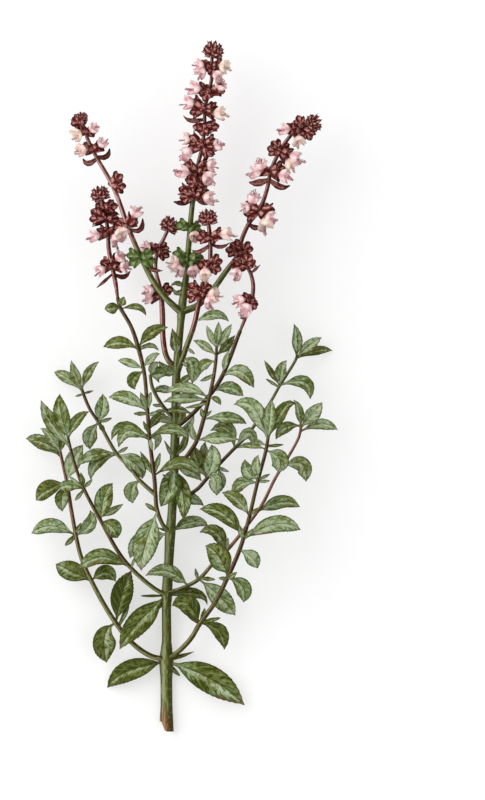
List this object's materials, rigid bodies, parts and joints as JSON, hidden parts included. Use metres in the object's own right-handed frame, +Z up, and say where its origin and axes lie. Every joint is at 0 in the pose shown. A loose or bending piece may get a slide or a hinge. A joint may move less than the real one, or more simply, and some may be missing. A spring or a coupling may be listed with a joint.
{
  "type": "flowering basil stem",
  "caption": "Cut branching stem of basil lying down, with paired leaves on its side branches and whorled flower spikes at the top.",
  "frame": {"origin": "under the cut end, in the middle of the flat underside on which the main stem rests", "axes": "+Y from the cut end to the top of the plant, +Z up from the surface, +X to the right seen from above"},
  "size_m": [0.1713, 0.3806, 0.0599],
  "materials": {
    "stem": "satin",
    "leaf": "matte",
    "spike": "matte"
  },
  "bodies": {
    "root": {"main_stem": "stem", "leafy_left_low": "leaf", "leafy_left_middle": "leaf", "leafy_left_front": "leaf", "leafy_left_inner": "leaf", "leafy_left_short": "leaf", "leafy_right_low": "leaf", "leafy_right_outer": "leaf", "leafy_right_middle": "leaf", "leafy_right_front": "leaf", "leafy_right_upper": "leaf", "spike_top": "spike", "spike_left_tall": "spike", "spike_left_low": "spike", "spike_left_inner": "spike", "spike_right_inner": "spike", "spike_right_tall": "spike", "spike_right_hooked": "spike"}
  },
  "joints": []
}
